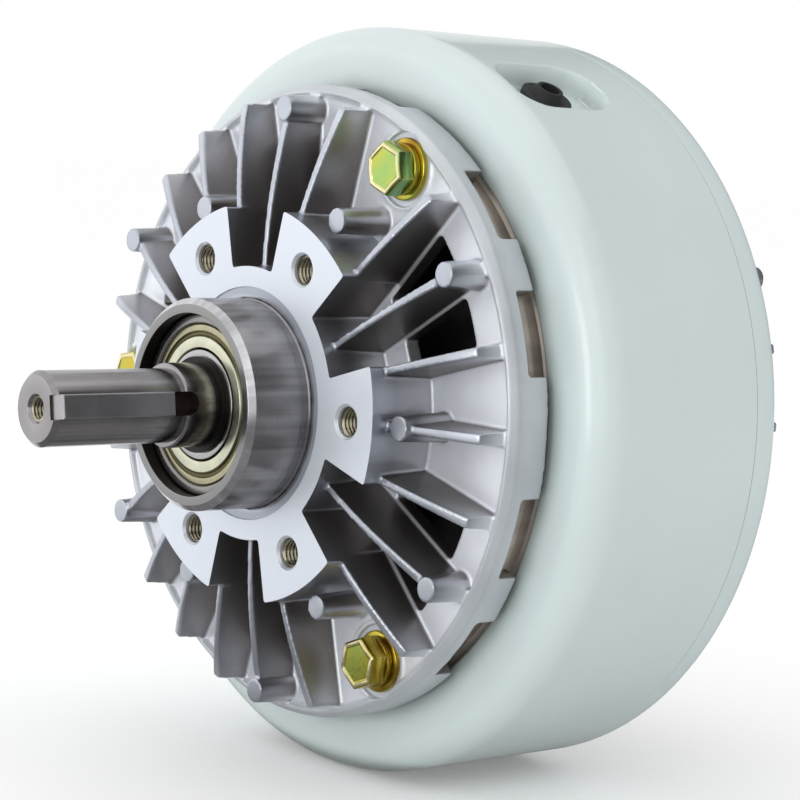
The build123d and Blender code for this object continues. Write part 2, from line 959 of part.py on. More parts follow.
def save(name, piece):
    # Writes a piece, or a group of like pieces, with the shaft end towards -Y and +Z up.
    pieces = piece if isinstance(piece, list) else [piece]
    solids = [solid for one in pieces for solid in (Plane.XZ.location * one).solids()]
    export_step(solids[0] if len(solids) == 1 else Compound(solids), f"parts/{name}.step")


def main():
    os.makedirs("parts", exist_ok=True)
    casting = bracket()
    front_bearing = (bearing_back, bearing_front)
    rear_bearing = (rear_bearing_back, rear_bearing_front)
    pieces = {
        "front_bracket": front_bracket(casting),
        "front_bearing_sleeve": front_sleeve(),
        "front_bearing_outer_ring": outer_race(*front_bearing),
        "front_bearing_inner_ring": inner_race(*front_bearing),
        "front_bearing_shields": shields(*front_bearing),
        "front_bearing_balls": balls(*front_bearing),
        "front_bearing_cage": cage(*front_bearing),
        "front_shaft_circlip": shaft_circlip(
            front_clip_radius, front_clip_radius + front_clip_height, bearing_front
        ),
        "front_shaft_seal": shaft_seal(shaft_seal_setback),
        "front_bracket_bolts": bracket_bolts(),
        "front_spring_washers": spring_washers(),
        "front_plain_washers": plain_washers(),
        "front_seal_plate": seal_plate(),
        "front_plate_screws": plate_screws(),
        "shaft": shaft(),
        "shaft_key": shaft_key(),
        "rotor": rotor(),
        "rotor_key": rotor_key(),
        "rotor_nut": rotor_nut(),
        "yoke": yoke(),
        "rear_yoke_ring": rear_yoke_ring(),
        "yoke_ring_screws": ring_screws(),
        "gap_ring": gap_ring(),
        "coil_bobbin": coil_bobbin(),
        "coil": coil(),
        "lead_grommet": lead_grommet(),
        "rear_bracket": rear_bracket(casting),
        "rear_bearing_sleeve": rear_sleeve(),
        "rear_bearing_outer_ring": outer_race(*rear_bearing),
        "rear_bearing_inner_ring": inner_race(*rear_bearing),
        "rear_bearing_shields": shields(*rear_bearing),
        "rear_bearing_balls": balls(*rear_bearing),
        "rear_bearing_cage": cage(*rear_bearing),
        "rear_shaft_circlip": shaft_circlip(
            rear_clip_radius, rear_clip_radius + rear_clip_height, rear_bearing_back - clip_thickness
        ),
        "preload_spring": preload_spring(),
        "rear_shaft_seal": rear_of(shaft_seal(rear_seal_setback)),
        "rear_bracket_bolts": rear_of(bracket_bolts()),
        "rear_spring_washers": rear_of(spring_washers()),
        "rear_plain_washers": rear_of(plain_washers()),
        "rear_seal_plate": rear_of(seal_plate()),
        "rear_plate_screws": rear_of(plate_screws()),
        "rear_cap": rear_cap(),
        "rear_cap_screws": cap_screws(),
    }
    for name, piece in pieces.items():
        save(name, piece)


main()
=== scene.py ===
import json
import math

import bmesh
import bpy
from mathutils import Matrix, Vector

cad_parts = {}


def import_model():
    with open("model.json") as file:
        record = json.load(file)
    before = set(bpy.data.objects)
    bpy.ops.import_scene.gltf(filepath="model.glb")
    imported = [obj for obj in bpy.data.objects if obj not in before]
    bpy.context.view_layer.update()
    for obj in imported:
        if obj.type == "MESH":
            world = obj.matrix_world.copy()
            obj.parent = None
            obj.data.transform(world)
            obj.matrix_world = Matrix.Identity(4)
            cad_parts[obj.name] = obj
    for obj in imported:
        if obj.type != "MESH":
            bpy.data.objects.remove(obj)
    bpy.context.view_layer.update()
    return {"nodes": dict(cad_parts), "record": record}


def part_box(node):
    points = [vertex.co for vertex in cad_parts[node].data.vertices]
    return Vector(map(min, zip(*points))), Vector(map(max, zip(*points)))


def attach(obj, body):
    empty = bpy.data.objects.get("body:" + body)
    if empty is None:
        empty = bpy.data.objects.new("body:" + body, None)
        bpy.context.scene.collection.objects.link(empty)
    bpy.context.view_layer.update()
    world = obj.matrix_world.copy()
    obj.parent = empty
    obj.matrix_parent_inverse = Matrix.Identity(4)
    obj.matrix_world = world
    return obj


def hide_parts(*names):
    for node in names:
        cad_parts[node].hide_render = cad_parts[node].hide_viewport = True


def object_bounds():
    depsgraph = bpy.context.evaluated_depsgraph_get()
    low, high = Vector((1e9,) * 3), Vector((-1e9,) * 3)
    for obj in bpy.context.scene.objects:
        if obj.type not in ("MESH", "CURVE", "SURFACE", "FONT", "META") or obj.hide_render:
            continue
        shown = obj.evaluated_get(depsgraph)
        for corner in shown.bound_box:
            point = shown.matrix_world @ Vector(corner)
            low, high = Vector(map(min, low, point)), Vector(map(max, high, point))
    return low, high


# Magnetic powder brake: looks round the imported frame.
# Shapes are written in millimetres as (x, y, level): x to the right and y up as seen from the shaft
# end, and level towards the shaft end from the plane of the mounting pads.

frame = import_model()
nodes = frame["nodes"]
MM = 0.001


def reach(node):
    # Outer radius, back level and front level of a node that is turned about the axis.
    low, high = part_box(node)
    return (high.x - low.x) / 2 / MM, -high.y / MM, -low.y / MM


pilot_radius, sleeve_back, pilot_height = reach("front_bearing_sleeve")
cup_radius, bearing_back, bearing_front = reach("front_bearing_outer_ring")
shield_radius = reach("front_bearing_shields")[0]
lip_radius = reach("front_shaft_seal")[0]
race_radius = reach("front_bearing_inner_ring")[0]
shaft_tail, shaft_reach = reach("shaft")[1:]
yoke_radius, shell_back, register_level = reach("yoke")
rear_race_back, rear_race_front = reach("rear_bearing_inner_ring")[1:]
nut_back, hub_back = reach("rotor_nut")[1:]
rotor_key_back, rotor_key_front = reach("rotor_key")[1:]
rim_radius = reach("front_bracket")[0]
pad_level = reach("front_bracket")[2]
rear_pad_level = reach("rear_bracket")[1]
middle = (pad_level + rear_pad_level) / 2

# Sizes that no box gives
seat_radius = 15.0
shoulder_radius = 18.5
neck_radius = 12.5
collar_radius = 14.3
collar_level = 34.1
clip_radius = 13.3
clip_width = 1.5
nut_thread_radius = 21.0
rotor_seat = 23.0
rotor_flange_radius = 28.0
rotor_flange_width = 6.0
yoke_level = -41.0
yoke_rounding = 11.0
rear_rounding = 6.0
shell_inside = 114.0
register_radius = 104.0
plate_step_radius = 88.0
plate_level = -55.0
powder_radius = 80.0
mount_circle = 55.0
mount_angles = [0, 60, 120, 180, 240, 300]
bolt_circle = 95.7
bolt_angles = [60, 180, 300]
pocket_angle = 60.0


def opposite(level):
    return 2 * middle - level


# Mesh helpers


def world(point):
    x, y, level = point
    return Vector((x * MM, -level * MM, y * MM))


def piece(name, shape, material, sharp=32.0):
    # A mesh object of one material from (points, faces); sharp is the angle that smooth() takes.
    points, faces = shape
    mesh = bpy.data.meshes.new(name)
    mesh.from_pydata([world(point) for point in points], [], faces)
    cleaned(mesh)
    made = bpy.data.objects.new(name, mesh)
    bpy.context.scene.collection.objects.link(made)
    mesh.materials.append(material)
    smooth(made, sharp)
    return made


def cleaned(mesh):
    # Merges doubled points and turns every face outwards.
    work = bmesh.new()
    work.from_mesh(mesh)
    bmesh.ops.remove_doubles(work, verts=work.verts, dist=0.002 * MM)
    bmesh.ops.dissolve_degenerate(work, edges=work.edges, dist=0.001 * MM)
    bmesh.ops.recalc_face_normals(work, faces=work.faces)
    work.to_mesh(mesh)
    work.free()


def smooth(made, sharp=32.0):
    # Smooth shading, broken at edges that turn by more than an angle in degrees.
    made.data.shade_smooth()
    made.data.set_sharp_from_angle(angle=math.radians(sharp))


def fit(made, body, slot, *replaced):
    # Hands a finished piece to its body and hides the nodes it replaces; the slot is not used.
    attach(made, body)
    if replaced:
        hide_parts(*replaced)
    return made


def applied(made):
    # The object with its modifiers worked into its mesh.
    graph = bpy.context.evaluated_depsgraph_get()
    mesh = bpy.data.meshes.new_from_object(made.evaluated_get(graph))
    made.modifiers.clear()
    made.data = mesh
    return made


def modified(made, kind, **settings):
    # The object with one modifier of a kind worked into its mesh.
    modifier = made.modifiers.new(kind.lower(), kind)
    for name, value in settings.items():
        setattr(modifier, name, value)
    return applied(made)


def carved(made, cutter):
    # The object with a closed cutter taken out; the cut faces keep the cutter's material.
    modifier = made.modifiers.new("cut", "BOOLEAN")
    modifier.operation = "DIFFERENCE"
    modifier.solver = "MANIFOLD"
    modifier.object = cutter
    modifier.material_mode = "TRANSFER"
    applied(made)
    bpy.data.objects.remove(cutter)
    return made


def together(*shapes):
    # Several shapes as one list of points and faces.
    points, faces = [], []
    for shape in shapes:
        base = len(points)
        points += shape[0]
        faces += [tuple(base + index for index in face) for face in shape[1]]
    return points, faces


def moved(shape, x, y, turn=0.0, level=0.0):
    # A shape turned about its own axis and moved sideways.
    cosine, sine = math.cos(math.radians(turn)), math.sin(math.radians(turn))
    points = [(x + px * cosine - py * sine, y + px * sine + py * cosine, pl + level)
              for px, py, pl in shape[0]]
    return points, shape[1]


def recoloured(made, material, chosen):
    # Gives another material to the faces whose centre, as radius and level, is chosen.
    made.data.materials.append(material)
    for face in made.data.polygons:
        middle_point = face.center
        if chosen(math.hypot(middle_point.x, middle_point.z) / MM, -middle_point.y / MM):
            face.material_index = len(made.data.materials) - 1


def mirrored(shape, plane=middle):
    # The same shape on the other side of a level, as a rule at the rear end.
    return [(x, y, 2 * plane - level) for x, y, level in shape[0]], shape[1]


def around(shape, angles, circle):
    # Copies of a shape on a circle, each turned by its own angle.
    copies = []
    for angle in angles:
        x = circle * math.cos(math.radians(angle))
        y = circle * math.sin(math.radians(angle))
        copies.append(moved(shape, x, y, angle))
    return together(*copies)


def rounded(corners, steps=4):
    # A closed outline of (radius, level) whose corners (radius, level, fillet) are arcs.
    outline = []
    count = len(corners)
    for place, corner in enumerate(corners):
        here = Vector(corner[:2])
        fillet = corner[2] if len(corner) > 2 else 0.0
        before = Vector(corners[place - 1][:2]) - here
        after = Vector(corners[(place + 1) % count][:2]) - here
        if fillet <= 0 or before.length < 1e-6 or after.length < 1e-6:
            outline.append(tuple(here))
            continue
        half = before.angle(after) / 2
        tangent = min(fillet / math.tan(half), 0.48 * before.length, 0.48 * after.length)
        first = here + before.normalized() * tangent
        last = here + after.normalized() * tangent
        centre = here + (before.normalized() + after.normalized()).normalized() * (
            tangent / math.cos(half))
        sweep = math.pi - 2 * half
        for step in range(steps + 1):
            share = step / steps
            weight_first = math.sin((1 - share) * sweep) / math.sin(sweep)
            weight_last = math.sin(share * sweep) / math.sin(sweep)
            point = centre + (first - centre) * weight_first + (last - centre) * weight_last
            outline.append(tuple(point))
    return outline


def ring_faces(rings, count, closed):
    # The faces between neighbouring rings of as many points each; closed joins the last to the first.
    faces = []
    for ring in range(rings if closed else rings - 1):
        here, there = ring * count, (ring + 1) % rings * count
        for place in range(count):
            following = (place + 1) % count
            faces.append((here + place, here + following, there + following, there + place))
    return faces


def turned(profile, segments=144, angles=None):
    # A closed profile swept round the axis; the profile may be a function of the angle.
    profile_at = profile if callable(profile) else lambda angle: profile
    angles = angles or [2 * math.pi * step / segments for step in range(segments)]
    points = []
    for angle in angles:
        ring = profile_at(angle)
        points += [(radius * math.cos(angle), radius * math.sin(angle), level) for radius, level in ring]
    return points, ring_faces(len(angles), len(ring), True)


def swept(section, start, end, steps, rise=0.0):
    # A section of (radius, level) carried from one angle to another, closed at both ends.
    points = []
    count = len(section)
    for step in range(steps + 1):
        share = step / steps
        angle = math.radians(start + (end - start) * share)
        points += [(radius * math.cos(angle), radius * math.sin(angle), level + rise * share)
                   for radius, level in section]
    ends = [tuple(range(count - 1, -1, -1)), tuple(range(steps * count, (steps + 1) * count))]
    return points, ring_faces(steps + 1, count, False) + ends


def block(x_low, x_high, y_low, y_high, level_low, level_high):
    # A box as a cutter.
    points = [(x, y, level) for x in (x_low, x_high) for y in (y_low, y_high)
              for level in (level_low, level_high)]
    faces = [(0, 1, 3, 2), (4, 6, 7, 5), (0, 4, 5, 1), (2, 3, 7, 6), (0, 2, 6, 4), (1, 5, 7, 3)]
    return points, faces


# Materials


def node(tree, kind, values=None, **properties):
    # A shader node; values are numbers set on its sockets, or sockets joined to them.
    made = tree.nodes.new(kind)
    for name, value in properties.items():
        setattr(made, name, value)
    for socket, value in (values or {}).items():
        if isinstance(value, bpy.types.NodeSocket):
            tree.links.new(value, made.inputs[socket])
        else:
            made.inputs[socket].default_value = value
    return made


def maths(tree, operation, first, second=0.0, third=0.0):
    made = node(tree, "ShaderNodeMath", {0: first, 1: second, 2: third}, operation=operation)
    return made.outputs[0]


def vector_maths(tree, operation, first, second=(0, 0, 0)):
    # A vector, or the number that DOT_PRODUCT and LENGTH give.
    made = node(tree, "ShaderNodeVectorMath", {0: first, 1: second}, operation=operation)
    return made.outputs["Value" if operation in ("DOT_PRODUCT", "LENGTH") else "Vector"]


def across_axis(tree, vector):
    # The part of a vector that lies across the axis.
    return vector_maths(tree, "MULTIPLY", vector, (1, 0, 1))


def along_axis(tree, vector):
    # The length of a vector along the axis; it is negative towards the shaft end.
    return node(tree, "ShaderNodeSeparateXYZ", {0: vector}).outputs[1]


def openness(tree, distance, samples=8):
    # One where nothing stands near, and less in gaps and corners; the distance is in millimetres.
    made = node(tree, "ShaderNodeAmbientOcclusion", {"Distance": distance * MM}, samples=samples)
    return made.outputs["AO"]


def noise(tree, place, scale, detail=3.0, roughness=0.5):
    # A noise whose features are about 1 / scale metres wide.
    made = node(tree, "ShaderNodeTexNoise", {"Vector": place, "Scale": scale, "Detail": detail,
                                             "Roughness": roughness})
    return made.outputs["Fac"]


def spread(tree, value, low, high, from_low=0.3, from_high=0.7):
    # A value brought from one range to another; left alone, the first is that of a noise.
    return node(tree, "ShaderNodeMapRange", {"Value": value, "From Min": from_low, "From Max": from_high,
                                             "To Min": low, "To Max": high}).outputs[0]


def blended(tree, share, first, second):
    # The first colour where the share is nought, and the second where it is one.
    mix = node(tree, "ShaderNodeMix", data_type="RGBA")
    for socket, value in ((0, share), (6, first), (7, second)):
        if isinstance(value, bpy.types.NodeSocket):
            tree.links.new(value, mix.inputs[socket])
        else:
            mix.inputs[socket].default_value = value
    return mix.outputs[2]


def shade(colour, factor):
    return (colour[0] * factor, colour[1] * factor, colour[2] * factor, 1.0)


def started(name, metallic, roughness):
    # A new material, its tree and shader, and where a point of the piece lies.
    material = bpy.data.materials.new(name)
    material.use_nodes = True
    tree = material.node_tree
    shader = next(one for one in tree.nodes if one.type == "BSDF_PRINCIPLED")
    shader.inputs["Metallic"].default_value = metallic
    shader.inputs["Roughness"].default_value = roughness
    place = node(tree, "ShaderNodeTexCoord").outputs["Object"]
    return material, tree, shader, place


def turning_marks(tree, place, pitch):
    # A value that changes only with the distance from the axis and along it, as tool marks do.
    radius = vector_maths(tree, "LENGTH", across_axis(tree, place))
    along = maths(tree, "SUBTRACT", radius, along_axis(tree, place))
    marks = node(tree, "ShaderNodeTexNoise", {"W": maths(tree, "MULTIPLY", along, 1 / (pitch * MM)),
                                              "Scale": 1.0, "Detail": 2.0}, noise_dimensions="1D")
    return marks.outputs["Fac"]


def streaks(tree, place, count):
    # A value that runs in lines along the axis on round sides, and is even on flat faces.
    direction = vector_maths(tree, "NORMALIZE", across_axis(tree, place))
    lines = maths(tree, "SUBTRACT", noise(tree, direction, count, 3.0, 0.6), 0.5)
    facing = node(tree, "ShaderNodeNewGeometry").outputs["True Normal"]
    side = maths(tree, "SUBTRACT", 1.0, maths(tree, "ABSOLUTE", along_axis(tree, facing)))
    return maths(tree, "MULTIPLY_ADD", lines, side, 0.5)


def edges(tree, radius, first=0.04, last=0.25):
    # One at corners and nought on open surfaces, from how far a rounded corner's normal leans.
    rounded_normal = node(tree, "ShaderNodeBevel", {"Radius": radius * MM}, samples=6).outputs[0]
    facing = node(tree, "ShaderNodeNewGeometry").outputs["Normal"]
    alike = vector_maths(tree, "DOT_PRODUCT", rounded_normal, facing)
    return spread(tree, alike, 0.0, 1.0, 1 - first, 1 - last)


def bumped(tree, shader, height, strength, distance, edge=0.25):
    # Joins a height to the shader, over softened corners; distance and edge are in millimetres.
    corner = node(tree, "ShaderNodeBevel", {"Radius": edge * MM}, samples=4).outputs[0]
    bump = node(tree, "ShaderNodeBump", {"Height": height, "Strength": strength,
                                         "Distance": distance * MM, "Normal": corner})
    tree.links.new(bump.outputs[0], shader.inputs["Normal"])


def turned_metal(name, colour, roughness, pitch=0.25, depth=0.5, anisotropy=0.5, stain_and_sheen=0.3,
                 metallic=1.0):
    # Metal from a lathe: fine rings, streaks along the axis that are partly polishing marks and partly
    # painted reflection bands, and a little staining.
    material, tree, shader, place = started(name, metallic, roughness)
    marks = turning_marks(tree, place, pitch)
    clouds = noise(tree, place, 60.0, 4.0)
    streak_sheen = streaks(tree, place, 4.0)
    dull = spread(tree, maths(tree, "MULTIPLY_ADD", streak_sheen, 0.85, maths(tree, "MULTIPLY", clouds, 0.15)),
                  0.0, 1.0, 0.40, 0.60)
    # The streaks lighten and darken the colour: partly polishing marks, partly painted reflection bands.
    tint = blended(tree, dull, shade(colour, 1 - stain_and_sheen), shade(colour, 1 + stain_and_sheen / 3))
    tree.links.new(tint, shader.inputs["Base Color"])
    rough = maths(tree, "ADD", spread(tree, marks, -0.04, 0.04),
                  spread(tree, clouds, roughness - 0.03, roughness + 0.05))
    tree.links.new(rough, shader.inputs["Roughness"])
    shader.inputs["Anisotropic"].default_value = anisotropy
    shader.inputs["Anisotropic Rotation"].default_value = 0.25
    tangent = node(tree, "ShaderNodeTangent", direction_type="RADIAL", axis="Y")
    tree.links.new(tangent.outputs[0], shader.inputs["Tangent"])
    bumped(tree, shader, marks, depth, 0.01)
    return material


def fin_sides(tree, place):
    # One on walls that stand along a radius, less on the hub, and nought on front faces and rims.
    facing = node(tree, "ShaderNodeNewGeometry").outputs["Normal"]
    front = maths(tree, "ABSOLUTE", along_axis(tree, facing))
    outward = vector_maths(tree, "NORMALIZE", across_axis(tree, place))
    along = vector_maths(tree, "DOT_PRODUCT", outward, facing)
    across = spread(tree, maths(tree, "ABSOLUTE", along), 1.0, 0.0, 0.40, 0.80)
    hub = spread(tree, along, 0.0, 0.45, 0.60, 0.90)
    upright = spread(tree, front, 1.0, 0.0, 0.25, 0.80)
    return maths(tree, "MULTIPLY", upright, maths(tree, "ADD", across, hub))


def depth_share(tree, place, shallow, deep):
    # Nought near the mounting faces of either bracket and one on what lies deep behind them.
    from_front = along_axis(tree, place)
    from_rear = maths(tree, "SUBTRACT", -2 * middle * MM, from_front)
    return spread(tree, maths(tree, "MINIMUM", from_front, from_rear), 0.0, 1.0, shallow * MM, deep * MM)


def rim_share(tree, place):
    # One on the rim and skirt of a bracket, and nought inside them.
    radius = vector_maths(tree, "LENGTH", across_axis(tree, place))
    return spread(tree, radius, 0.0, 1.0, (rim_radius - 3.6) * MM, (rim_radius - 3.0) * MM)


def cast_metal(name, tips, floor_light, rim, painted_side_shade, worn_edge_highlight, roughness):
    # A casting: fine grain and clouds, floors painted paler than the tips as painted light, an even rim,
    # painted shade on hemmed-in fin sides, corners painted bright as partly wear and partly painted
    # highlight.
    material, tree, shader, place = started(name, 0.9, roughness)
    grain = noise(tree, place, 900.0, 3.0, 0.6)
    clouds = noise(tree, place, 45.0, 5.0)
    deep = depth_share(tree, place, 10, 22)
    outer = rim_share(tree, place)
    sides = fin_sides(tree, place)
    # Edges painted bright: partly wear, partly painted highlight.
    edge_wear_and_highlight = maths(tree, "MULTIPLY", edges(tree, 0.45), spread(tree, noise(tree, place, 160.0), 0.5, 1.0))
    # Painted light: deep floors get a paler colour than the tips.
    tint = blended(tree, deep, shade(tips, 1.0), shade(floor_light, 1.0))
    tint = blended(tree, outer, tint, shade(rim, 1.0))
    tint = blended(tree, spread(tree, clouds, 0.0, 0.16), tint, (0, 0, 0, 1))
    # Painted shade: fin sides get a dark colour where neighbouring walls stand close.
    side_shade_share = maths(tree, "MULTIPLY", sides, spread(tree, openness(tree, 30), 1.0, 0.0, 0.40, 0.85))
    tint = blended(tree, side_shade_share, tint, shade(painted_side_shade, 1.0))
    tint = blended(tree, edge_wear_and_highlight, tint, shade(worn_edge_highlight, 1.0))
    tree.links.new(tint, shader.inputs["Base Color"])
    blasted = maths(tree, "MULTIPLY", deep, maths(tree, "SUBTRACT", 1.0, sides))
    matt = maths(tree, "MAXIMUM", blasted, outer)
    tree.links.new(maths(tree, "MULTIPLY_ADD", matt, -0.58, 0.9), shader.inputs["Metallic"])
    grainy = spread(tree, grain, roughness - 0.05, roughness + 0.06)
    tree.links.new(maths(tree, "MULTIPLY_ADD", edge_wear_and_highlight, -0.12, grainy), shader.inputs["Roughness"])
    bump = node(tree, "ShaderNodeBump", {"Height": grain, "Strength": 0.3, "Distance": 0.15 * MM})
    tree.links.new(bump.outputs[0], shader.inputs["Normal"])
    return material


def pressed_steel(name, colour, hollow_shade, depth=2.2):
    # Steel with painted shade in its valleys and hollows, dark and golden.
    material, tree, shader, place = started(name, 1.0, 0.26)
    clouds = noise(tree, place, 160.0, 3.0)
    tint = blended(tree, spread(tree, clouds, 0.0, 1.0), shade(colour, 0.88), shade(colour, 1.05))
    # Painted shade: darker and golden where the surface is hemmed in.
    shade_share = spread(tree, openness(tree, depth), 1.0, 0.0, 0.50, 0.84)
    tint = blended(tree, shade_share, tint, shade(hollow_shade, 1.0))
    tree.links.new(tint, shader.inputs["Base Color"])
    bumped(tree, shader, clouds, 0.1, 0.02, 0.2)
    return material


def paint(name, colour, painted_gap_shade):
    # Smooth semi-gloss paint with a faint orange peel, with painted shade in gaps and corners.
    material, tree, shader, place = started(name, 0.0, 0.32)
    clouds = noise(tree, place, 12.0, 3.0)
    peel = noise(tree, place, 420.0, 2.0)
    tint = blended(tree, spread(tree, clouds, 0.0, 1.0), shade(colour, 0.95), shade(colour, 1.03))
    # Painted shade in gaps and corners.
    shade_share = spread(tree, openness(tree, 12, samples=6), 0.8, 0.0, 0.30, 0.82)
    tint = blended(tree, shade_share, tint, shade(painted_gap_shade, 1.0))
    tree.links.new(tint, shader.inputs["Base Color"])
    tree.links.new(spread(tree, peel, 0.28, 0.38), shader.inputs["Roughness"])
    shader.inputs["Coat Weight"].default_value = 0.35
    shader.inputs["Coat Roughness"].default_value = 0.12
    bump = node(tree, "ShaderNodeBump", {"Height": peel, "Strength": 0.12, "Distance": 0.1 * MM})
    tree.links.new(bump.outputs[0], shader.inputs["Normal"])
    return material


def plated(name, film_share, by_height):
    # Passivated zinc, teal and green to golden and brown; by_height makes what lies higher greener.
    material, tree, shader, place = started(name, 1.0, 0.22)
    facing = node(tree, "ShaderNodeNewGeometry").outputs["Normal"]
    by_place = vector_maths(tree, "MULTIPLY", place, (75.0,) * 3)
    by_side = vector_maths(tree, "MULTIPLY", facing, (0.35,) * 3)
    film = vector_maths(tree, "ADD", by_place, by_side)
    height = node(tree, "ShaderNodeSeparateXYZ", {0: place}).outputs[2]
    usual = maths(tree, "MINIMUM", maths(tree, "MULTIPLY_ADD", height, by_height, film_share), film_share)
    clouds = maths(tree, "SUBTRACT", noise(tree, film, 1.0, 1.5, 0.4), 0.5)
    ramp = node(tree, "ShaderNodeValToRGB", {"Fac": maths(tree, "MULTIPLY_ADD", clouds, 0.8, usual)})
    stops = ramp.color_ramp.elements
    stops[0].position, stops[0].color = 0.22, (0.20, 0.42, 0.24, 1)
    stops[1].position, stops[1].color = 0.84, (0.30, 0.16, 0.02, 1)
    for position, colour in ((0.38, (0.27, 0.46, 0.15, 1)), (0.55, (0.44, 0.48, 0.09, 1)),
                             (0.70, (0.58, 0.45, 0.06, 1))):
        stops.new(position).color = colour
    # Painted highlight: edges turn pale gold.
    tint = blended(tree, edges(tree, 0.6), ramp.outputs[0], (0.95, 0.86, 0.42, 1))
    tree.links.new(tint, shader.inputs["Base Color"])
    grain = noise(tree, place, 1200.0, 2.0)
    tree.links.new(spread(tree, grain, 0.15, 0.27), shader.inputs["Roughness"])
    bumped(tree, shader, grain, 0.12, 0.05, 0.3)
    return material


def plain(name, colour, metallic, roughness, grain=700.0, depth=0.05, edge=0.2):
    # A moulded, drawn or coated surface with a fine grain and slight colour changes.
    material, tree, shader, place = started(name, metallic, roughness)
    fine = noise(tree, place, grain, 3.0)
    clouds = noise(tree, place, 50.0, 3.0)
    tint = blended(tree, spread(tree, clouds, 0.0, 1.0), shade(colour, 0.82), shade(colour, 1.1))
    tree.links.new(tint, shader.inputs["Base Color"])
    tree.links.new(spread(tree, fine, roughness - 0.05, roughness + 0.07), shader.inputs["Roughness"])
    bumped(tree, shader, fine, 0.3, depth, edge)
    return material


cast = cast_metal("cast_aluminium", tips=(0.50, 0.53, 0.59), floor_light=(0.90, 0.93, 1.0),
                  rim=(0.61, 0.645, 0.68), painted_side_shade=(0.21, 0.19, 0.18), worn_edge_highlight=(0.95, 0.96, 0.99),
                  roughness=0.33)
machined = turned_metal("machined_aluminium", (0.745, 0.79, 0.865), roughness=0.44, pitch=0.35,
                        depth=0.35, anisotropy=0.2, stain_and_sheen=0.05, metallic=0.4)
# A darker copy of the machined aluminium for the relief round the spigot: painted reflection of the steel
# sleeve.
relief_reflection_metal = turned_metal("relief_reflection_aluminium", (0.44, 0.475, 0.54), roughness=0.36, pitch=0.35,
                            depth=0.35, anisotropy=0.2, stain_and_sheen=0.05, metallic=0.5)
hole_metal = turned_metal("drilled_aluminium", (0.70, 0.73, 0.78), roughness=0.30, pitch=0.35, depth=0.3,
                          anisotropy=0.3, stain_and_sheen=0.2, metallic=0.5)
steel = turned_metal("turned_steel", (0.38, 0.365, 0.375), roughness=0.31, pitch=0.3, depth=0.4,
                     anisotropy=0.8, stain_and_sheen=0.4)
# A paler copy of the turned steel for the sleeve's chamfer: painted highlight.
chamfer_highlight_steel = turned_metal("chamfer_highlight_steel", (0.72, 0.72, 0.75), roughness=0.22, pitch=0.3, depth=0.4,
                             anisotropy=0.3, stain_and_sheen=0.7)
slot_steel = plain("slot_steel", (0.105, 0.08, 0.072), metallic=0.9, roughness=0.34, grain=600.0,
                   depth=0.1)
# A darker copy of the turned steel for the sleeve's front face: painted shade.
sleeve_face_shade = turned_metal("faced_steel_shade", (0.27, 0.275, 0.27), roughness=0.24, pitch=0.3, depth=0.4,
                          anisotropy=0.7, stain_and_sheen=0.2)
ground = turned_metal("ground_steel", (0.36, 0.345, 0.35), roughness=0.18, pitch=0.2, depth=0.3,
                      anisotropy=0.55, stain_and_sheen=0.35)
bearing = turned_metal("bearing_steel", (0.41, 0.41, 0.41), roughness=0.16, pitch=0.15, depth=0.2,
                       anisotropy=0.6, stain_and_sheen=0.1)
outer_steel = turned_metal("outer_ring_steel", (0.30, 0.29, 0.285), roughness=0.22, pitch=0.15,
                           depth=0.2, anisotropy=0.6, stain_and_sheen=0.2)
# Near black: painted shade inside the sleeve's bore.
bore_shade_steel = turned_metal("bore_shade_steel", (0.030, 0.026, 0.024), roughness=0.34, pitch=0.3, depth=0.4,
                          anisotropy=0.4, stain_and_sheen=0.2)
shield = pressed_steel("shield_steel", (0.60, 0.60, 0.47), hollow_shade=(0.10, 0.085, 0.035))
# Darker copies of the shield steel for its valley and crimped rim: painted shade.
shield_valley_shade = pressed_steel("shield_valley_shade", (0.13, 0.115, 0.055), hollow_shade=(0.03, 0.025, 0.012))
shield_rim_shade = pressed_steel("shield_rim_shade", (0.40, 0.375, 0.25), hollow_shade=(0.06, 0.05, 0.025))
register = turned_metal("bare_steel", (0.68, 0.60, 0.52), roughness=0.38, pitch=0.8, depth=0.8,
                        anisotropy=0.3, stain_and_sheen=0.4, metallic=0.5)
# The thread roots get painted shade.
threaded = pressed_steel("tapped_thread", (0.50, 0.46, 0.33), hollow_shade=(0.02, 0.017, 0.012), depth=1.6)
rotor_steel = turned_metal("rotor_steel", (0.55, 0.55, 0.56), roughness=0.3)
spring = plain("spring_steel", (0.028, 0.024, 0.022), metallic=0.9, roughness=0.38)
key_steel = plain("key_steel", (0.40, 0.39, 0.40), metallic=1.0, roughness=0.34, grain=400.0, depth=0.03,
                  edge=0.3)
black = plain("black_steel", (0.045, 0.045, 0.05), metallic=0.8, roughness=0.42)
# Near black, used as painted shade behind the windows, in the rebate and in the screw sinks.
dark = plain("painted_shade_black", (0.012, 0.011, 0.011), metallic=0.2, roughness=0.7)
rubber = plain("rubber", (0.022, 0.022, 0.023), metallic=0.0, roughness=0.62)
copper = turned_metal("copper_winding", (0.70, 0.32, 0.14), roughness=0.34, pitch=0.9, depth=1.0,
                      anisotropy=0.2)
bobbin_plastic = plain("bobbin_plastic", (0.62, 0.55, 0.38), metallic=0.0, roughness=0.5)
bronze = turned_metal("gap_bronze", (0.66, 0.45, 0.18), roughness=0.3)
plate = turned_metal("turned_aluminium", (0.74, 0.76, 0.80), roughness=0.3, pitch=0.5, depth=0.5,
                     anisotropy=0.4, stain_and_sheen=0.1)
yoke_paint = paint("yoke_paint", (0.67, 0.765, 0.765), (0.20, 0.24, 0.22))
zinc = plated("yellow_zinc", 0.66, -2.5)
golden_zinc = plated("golden_zinc", 0.70, 0.0)
# A paler gold for the crowns of the bolt heads: painted highlight.
edge_highlight_zinc = plain("edge_highlight_zinc", (0.80, 0.72, 0.40), metallic=1.0, roughness=0.25)

